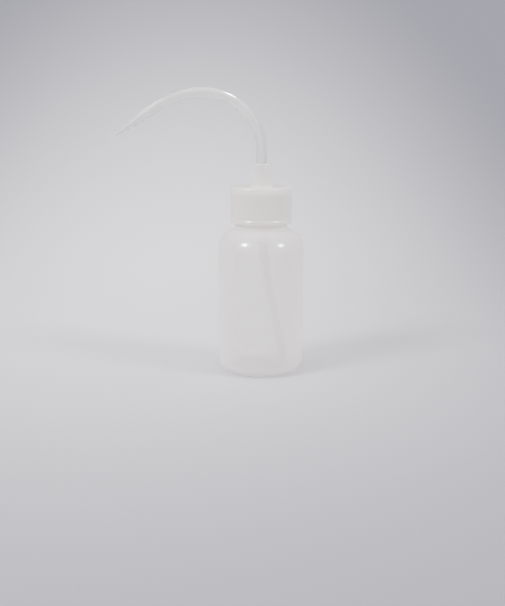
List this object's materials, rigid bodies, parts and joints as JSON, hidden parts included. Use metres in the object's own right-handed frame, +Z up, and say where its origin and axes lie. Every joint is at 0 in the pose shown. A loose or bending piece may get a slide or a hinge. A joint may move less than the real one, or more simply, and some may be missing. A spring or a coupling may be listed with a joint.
{
  "type": "wash bottle",
  "caption": "Small translucent polyethylene wash bottle with graduations, a smooth screw cap with a boss, an arched delivery tube drawn to a fine tip, and a bent dip tube.",
  "frame": {"origin": "on the bottle's axis, at the level of the surface that it stands on", "axes": "+Z up along the bottle's axis; the delivery tube reaches towards -X; the front with the graduations faces -Y"},
  "size_m": [0.1042, 0.0462, 0.1521],
  "materials": {
    "bottle_body": "natural translucent polyethylene, waxy and slightly hazy",
    "cap": "natural polyethylene, thicker and milkier than the bottle",
    "liner": "white closed-cell polyethylene foam",
    "delivery_tubing": "natural polyethylene tubing, smooth",
    "dip_tubing": "natural polyethylene tubing, smooth"
  },
  "bodies": {
    "bottle_body": {"bottle": "bottle_body"},
    "disc": {"sealing_disc": "liner"},
    "cap": {"screw_cap": "cap"},
    "delivery": {"delivery_tube": "delivery_tubing"},
    "dip": {"dip_tube": "dip_tubing"}
  },
  "joints": [
    {"name": "cap_lift", "type": "slide", "parent": "bottle_body", "child": "disc", "axis": [0, 0, 1], "range_m": [0, 0.0053]},
    {"name": "cap_turn", "type": "hinge", "parent": "disc", "child": "cap", "pos_m": [0, 0, 0.09], "axis": [0, 0, 1], "range_deg": [0, 450]},
    {"name": "delivery_swivel", "type": "hinge", "parent": "cap", "child": "delivery", "pos_m": [0, 0, 0.109], "axis": [0, 0, 1], "continuous": true},
    {"name": "dip_swivel", "type": "hinge", "parent": "cap", "child": "dip", "pos_m": [0, 0, 0.099], "axis": [0, 0, 1], "continuous": true}
  ],
  "couplings": [
    {"joint": "cap_lift", "follows": "cap_turn", "m_per_rad": 0.00067376}
  ]
}
